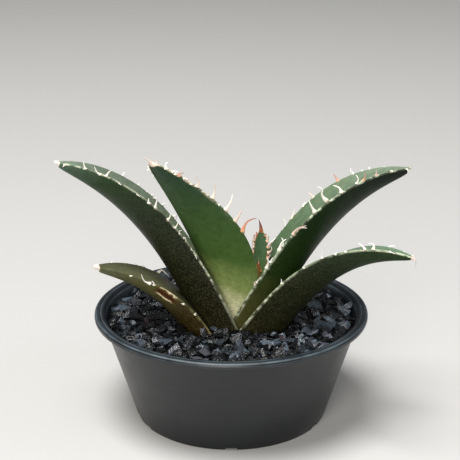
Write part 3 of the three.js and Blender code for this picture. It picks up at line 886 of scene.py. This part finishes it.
# For each leaf: the colours of its back and its channel face from foot to tip, how strong its pale edge is at
# REACH_STOPS, the edge's colour and width in millimetres, and its freckles' colour and strength at foot and
# tip. stops are the places of its colours where they differ from REACH_STOPS, and slant moves the colours of
# the +across side towards the foot.
NO_EDGE, SOFT_EDGE, FULL_EDGE = "#000000", "#808080", "#ffffff"
# The backs, above all of leaf_lower_right, leaf_upper_left and leaf_upper_right, are far darker than the
# channel faces: a darker green of their own with painted shade of the undersides on top, near black where
# that shade is deepest.
SKINS = {
    "leaf_lower_left": dict(
        back=("#2a1e09", "#2f2610", "#515232", "#505339"),
        face=("#3b331a", "#505034", "#606346", "#575b40"),
        edging=(FULL_EDGE, SOFT_EDGE, NO_EDGE, NO_EDGE),
        line_colour="#b0a878", freckles=("#5c4f2a", 0.6, 0.15),
    ),
    "leaf_lower_right": dict(
        back=("#221b0a", "#151708", "#0a1905", "#182f0f"),
        face=("#6a7040", "#5a7048", "#65825f", "#748e74"),
        edging=(FULL_EDGE, FULL_EDGE, SOFT_EDGE, FULL_EDGE),
        line_colour="#c4ccb0", freckles=("#3e4127", 0.8, 0.2),
    ),
    "leaf_upper_left": dict(
        back=("#1d1606", "#131206", "#0f1e0a", "#1c3518", "#4a5f50"),
        face=("#6e7848", "#667452", "#6c7967", "#6c7a69", "#7b8b7c"),
        edging=(SOFT_EDGE, FULL_EDGE, SOFT_EDGE, FULL_EDGE),
        line_colour="#c4ccb0", freckles=("#3c3f28", 0.8, 0.3),
        stops=(0.08, 0.3, 0.6, 0.84, 0.98),
    ),
    "leaf_upper_right": dict(
        back=("#53502b", "#192a09", "#0d1f07", "#051205"),
        face=("#6a7a48", "#486241", "#667b5f", "#778671"),
        edging=(FULL_EDGE, FULL_EDGE, FULL_EDGE, FULL_EDGE),
        line_colour="#c8d2b8", freckles=("#394a24", 0.35, 0.0),
    ),
    "leaf_centre": dict(
        # the near-white foot of this back is partly the leaf's own pale base and partly painted light, for
        # the deep pocket between the leaves that little lamp light reaches
        back=("#f6f2cc", "#dfe2ae", "#9aab67", "#48652f", "#1c3623"),
        face=("#8a9450", "#8a9450", "#7f9a70", "#7fa584", "#7fa584"),
        edging=(NO_EDGE, NO_EDGE, NO_EDGE, FULL_EDGE),
        line_colour="#e0d4be", freckles=("#4c6434", 0.3, 0.15),
        stops=(0.1, 0.19, 0.27, 0.43, 0.95), slant=0.06, edge_width=0.6,
    ),
    "leaf_young": dict(
        back=("#5a6a38", "#4a6440", "#4f7050", "#4f7050"),
        face=("#3f4922", "#4c603b", "#4f6843", "#536f53"),
        edging=(NO_EDGE, SOFT_EDGE, FULL_EDGE, FULL_EDGE),
        line_colour="#c8783c", freckles=("#7a8a5a", 0.2, 0.0),
        edge_width=0.5,
    ),
    "leaf_bud": dict(
        back=("#6f6a40", "#5a5a38", "#6a5a30", "#7a5a30"),
        face=("#8a8450", "#7a7a4a", "#7a6a3a", "#7a5a30"),
        edging=(SOFT_EDGE, SOFT_EDGE, FULL_EDGE, FULL_EDGE),
        line_colour="#a8703c", freckles=("#8a7a4a", 0.2, 0.0),
    ),
}


def build_leaf(name):
    spec = LEAVES[name]
    leaf, blade = lay_blade(name, spec)
    for tooth in TEETH[name]:
        grow_tooth(leaf, blade, tooth)
    bpy.ops.object.mode_set(mode="OBJECT")
    apply_modifier(leaf, "SUBSURF", levels=2, render_levels=2)
    bpy.ops.object.shade_smooth()
    scar = (*spec["scar"], spec["length"]) if "scar" in spec else None
    material = agave_skin(name + "_cuticle", scar=scar, **SKINS[name])
    finish_piece(leaf, material, "root", "leaf_skin", name)
    return leaf


leaf_pieces = [build_leaf(name) for name in LEAVES]


# ---------------------------------------------------------------- stone dressing
CHIP_SHAPES = 18
CHIP_SEED = 47
CLEAVINGS = (5, 8)  # cuts to a block
CLEAVING_DEPTHS = (0.16, 0.4)  # from the middle of a unit block to each cut
CHIP_WIDTHS = (0.5, 0.8)  # shares of the block's length
CHIP_HEIGHTS = (0.32, 0.62)
CHIP_MERGE = 0.03  # corners closer than this become one
CHIPS_TRIED = 1500  # a chip that finds no room is left out
SPOTS_TRIED = 7
CHIP_LENGTHS = (3, 9.5)
SMALL_CHIPS = 1.5  # past 1, small chips outnumber large ones
LAST_SHRINK = 0.8  # how small the last chips are beside the first, so that they fill gaps
TILT_SPREAD = 0.34
WALL_GAP = 0.1  # between the wall and a chip that lies against it
WALL_ROOM = 0.3  # share of its length that a chip's middle keeps from the wall
FOOTPRINT = 0.8  # share of a chip's footprint that no leaf or wall may touch
FIELD_CELL = 0.5
FIELD_MARGIN = 0.2
FIELD_TOP = 5.2  # how far the dressing may pile up above the bed
FIELD_LEVEL = 2  # above the bed, where the dressing meets the wall
LEAF_LEVELS = (0.6, 2.4)  # above the bed, where the leaves are felt for
LEAF_REACH = 40  # past this radius no leaf passes through the dressing
DOME = 0.8  # share of a chip's half height by which it holds its neighbours off
SETTLING = 0.15  # how far a chip sinks between those under it


def chip_shape(index, roll):
    """A crushed chip: a block cleaved by flat cuts until only sharp faces are left."""
    chip = new_piece("chip_shape_%02d" % index, bpy.ops.mesh.primitive_cube_add, size=1)
    bpy.ops.object.mode_set(mode="EDIT")
    for _ in range(roll.randint(*CLEAVINGS)):
        bpy.ops.mesh.select_all(action="SELECT")
        normal = Vector((roll.gauss(0, 1), roll.gauss(0, 1), roll.gauss(0, 1))).normalized()
        spot = normal * roll.uniform(*CLEAVING_DEPTHS)
        bpy.ops.mesh.bisect(plane_co=spot, plane_no=normal, use_fill=True, clear_outer=True)
    bpy.ops.mesh.select_all(action="SELECT")
    size = (1.0, roll.uniform(*CHIP_WIDTHS), roll.uniform(*CHIP_HEIGHTS))
    bpy.ops.transform.resize(value=size, center_override=(0, 0, 0))
    bpy.ops.mesh.remove_doubles(threshold=CHIP_MERGE)
    bpy.ops.mesh.quads_convert_to_tris()
    bpy.ops.object.mode_set(mode="OBJECT")
    chip.data.transform(Matrix.Scale(1 / max(chip.dimensions), 4))
    return chip


def leaf_cells(centres):
    """Cells of the field that a leaf passes through, felt for by rays inside its skin."""
    blocked = np.zeros((len(centres), len(centres)), bool)
    graph = bpy.context.evaluated_depsgraph_get()
    for leaf in leaf_pieces:
        tree = BVHTree.FromObject(leaf, graph)
        for level in LEAF_LEVELS:
            for ix, x in enumerate(centres):
                for iy, y in enumerate(centres):
                    if x * x + y * y > LEAF_REACH**2 or blocked[ix, iy]:
                        continue
                    start = Vector((x, y, BED_TOP + level)) * MM
                    spot, normal = tree.ray_cast(start, Vector((0, 0, 1)))[:2]
                    blocked[ix, iy] = spot is not None and normal.z > 0
    return blocked


class Field:
    """The ground that chips are laid on: how high it is in each cell, and which cells are closed to them."""

    def __init__(self):
        self.reach = inner_radius_at(BED_TOP + FIELD_LEVEL)
        size = int(2 * (self.reach + 1) / FIELD_CELL)
        self.origin = size * FIELD_CELL / 2
        centres = (np.arange(size) + 0.5) * FIELD_CELL - self.origin
        self.x, self.y = np.meshgrid(centres, centres, indexing="ij")
        self.height = np.full((size, size), BED_TOP, float)
        self.closed = leaf_cells(centres) | (np.hypot(self.x, self.y) > self.reach - FIELD_MARGIN)

    def land(self, spot, spread, spin, tilt):
        """How high a chip comes to rest at a spot, and the cells and heights that it adds to the ground."""
        radius = max(spread.x, spread.y) / 2
        low_x, low_y = (max(int((place - radius + self.origin) / FIELD_CELL), 0) for place in spot)
        reach = int(2 * radius / FIELD_CELL) + 2
        window = (slice(low_x, low_x + reach), slice(low_y, low_y + reach))
        dx, dy = self.x[window] - spot[0], self.y[window] - spot[1]
        cs, sn = math.cos(spin), math.sin(spin)
        u = (dx * cs + dy * sn) / (spread.x / 2)
        v = (-dx * sn + dy * cs) / (spread.y / 2)
        out = u * u + v * v
        inside = out < 1
        if not inside.any() or (self.closed[window] & (out < FOOTPRINT)).any():
            return None
        dome = np.sqrt(np.clip(1 - out, 0, 1)) * spread.z / 2 * DOME
        slope = u * math.tan(tilt[1]) * -spread.x / 2 + v * math.tan(tilt[0]) * spread.y / 2
        rest = (self.height[window] + dome - slope)[inside].max() - SETTLING
        return rest, window, np.where(inside, rest + slope + dome, -np.inf)


def settle_chip(field, shapes, roll, share):
    """Lays one chip into the lowest of a few spots, or gives None where it finds no room."""
    length = mix(*CHIP_LENGTHS, roll.random() ** SMALL_CHIPS) * mix(1.0, LAST_SHRINK, share)
    shape = roll.choice(shapes)
    spin = roll.uniform(0, 2 * math.pi)
    tilt = (roll.gauss(0, TILT_SPREAD), roll.gauss(0, TILT_SPREAD))
    spread = shape.dimensions * length
    best = None
    for _ in range(SPOTS_TRIED):
        out = (field.reach - length * WALL_ROOM) * math.sqrt(roll.random())
        turn = roll.uniform(0, 2 * math.pi)
        spot = (out * math.cos(turn), out * math.sin(turn))
        landing = field.land(spot, spread, spin, tilt)
        if landing and (best is None or landing[0] < best[0]):
            best = (*landing, spot)
    if best is None or best[0] > BED_TOP + FIELD_TOP - spread.z / 2:
        return None
    height, window, top, spot = best
    field.height[window] = np.maximum(field.height[window], top)
    return shape, length, spin, tilt, (*spot, height), roll.random()


def lay_chips():
    """Lays the chips one by one, so that they pack as gravel does, and joins them."""
    roll = random.Random(CHIP_SEED)
    shapes = [chip_shape(i, roll) for i in range(CHIP_SHAPES)]
    field = Field()
    laid = [settle_chip(field, shapes, roll, i / CHIPS_TRIED) for i in range(CHIPS_TRIED)]
    copies = [copy_chip(i, *chip) for i, chip in enumerate(filter(None, laid))]
    deselect_all()
    for copy in copies:
        copy.select_set(True)
    bpy.context.view_layer.objects.active = copies[0]
    bpy.ops.object.join()
    dressing = bpy.context.object
    dressing.name = dressing.data.name = "stone_chips"
    for shape in shapes:
        bpy.data.objects.remove(shape)
    return dressing


def copy_chip(index, shape, length, spin, tilt, spot, tint):
    """One chip with a mesh of its own, lying where it came to rest but never through the wall."""
    mesh = shape.data.copy()
    lean = Matrix.Rotation(tilt[0], 4, "X") @ Matrix.Rotation(tilt[1], 4, "Y")
    lie = Matrix.Rotation(spin, 4, "Z") @ lean
    mesh.transform(Matrix.Translation(Vector(spot) * MM) @ lie @ Matrix.Scale(length * MM, 4))
    corners = [vertex.co / MM for vertex in mesh.vertices]
    past_wall = max(corner.xy.length - inner_radius_at(corner.z) for corner in corners) + WALL_GAP
    if past_wall > 0:
        inward = -Vector((*spot[:2], 0)).normalized()
        mesh.transform(Matrix.Translation(inward * past_wall * MM))
    tints = mesh.attributes.new("tint", "FLOAT", "POINT")
    tints.data.foreach_set("value", [tint] * len(mesh.vertices))
    chip = bpy.data.objects.new("chip_%04d" % index, mesh)
    bpy.context.collection.objects.link(chip)
    return chip


SLATE_TINTS = ((0.0, "#050506"), (0.4, "#0c0d0f"), (0.68, "#1b2025"), (0.88, "#525e69"), (1.0, "#3a2e31"))


def crushed_slate(name, chips):
    """Crushed black slate: rough broken faces, charcoal to blue-grey, some of which catch the light."""
    material, add = new_material(name)
    fine = grain(add, 0.8, 5)
    stone, shine = linear("#0d0e10"), 0.6
    if chips:
        tint = add("Attribute", attribute_name="tint", take="Fac")
        stone = add("ValToRGB", tint, stops=SLATE_TINTS)
        shine = add("MapRange", tint, 0.2, 1.0, 0.16, 0.1)
    dust = add("MapRange", fine, 0.5, 0.75, 0.0, 0.25)
    dusty = add("Mix", dust, stone, linear("#5c6068"), data_type="RGBA")
    # painted glints: pale specks about half a millimetre wide that stand for sparkles of light on the broken
    # faces
    painted_glint = add("MapRange", grain(add, 0.55, 1), 0.68, 0.76, 0.0, 0.2)
    # broken faces: steps of a few tenths of a millimetre
    steps = add("Math", grain(add, 2.4, 2), 1.5, fine, operation="MULTIPLY_ADD")
    surface = {
        "Base Color": add("Mix", painted_glint, dusty, linear("#9aa6b2"), data_type="RGBA"),
        "Roughness": add("Math", fine, 0.24, shine, operation="MULTIPLY_ADD"),
        "IOR": 1.55,
        "Normal": add("Bump", named={"Height": steps, "Distance": 0.35 * MM}),
    }
    add("OutputMaterial", add("BsdfPrincipled", named=surface))
    return material


chip_nodes = [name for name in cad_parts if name.startswith("stone_chip_")]
finish_piece(lay_chips(), crushed_slate("crushed_slate", True), "root", "black_stone", *chip_nodes)


# ---------------------------------------------------------------- CAD nodes that stay
def bark_planting_mix():
    """Moist potting mix of composted bark and grit: dark brown crumbs with pale grains."""
    material, add = new_material("bark_planting_mix")
    crumbs = grain(add, 2.2, 4)
    stops = [(0.3, "#17110d"), (0.55, "#35281f"), (0.7, "#5a4636"), (0.8, "#8f8474")]
    bump = add("Bump", named={"Height": crumbs, "Distance": 0.6 * MM})
    surface = {"Base Color": add("ValToRGB", crumbs, stops=stops), "Roughness": 0.95, "Normal": bump}
    add("OutputMaterial", add("BsdfPrincipled", named=surface))
    return material


def corky_stem():
    """Agave stem and roots: pale corky skin with brown scars across it."""
    material, add = new_material("corky_stem")
    scars = grain(add, 2.5, 3, (1, 1, 3))
    stops = [(0.3, "#6f5a3e"), (0.6, "#b8a67c"), (0.8, "#d8cba4")]
    bump = add("Bump", named={"Height": scars, "Distance": 0.3 * MM})
    surface = {"Base Color": add("ValToRGB", scars, stops=stops), "Roughness": 0.85, "Normal": bump}
    add("OutputMaterial", add("BsdfPrincipled", named=surface))
    return material


def dress_node(name, material):
    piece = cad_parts[name]
    piece.data.materials.clear()
    piece.data.materials.append(material)


dress_node("planting_mix", bark_planting_mix())
dress_node("stem_and_roots", corky_stem())
dress_node("stone_bed", crushed_slate("crushed_slate_bed", False))
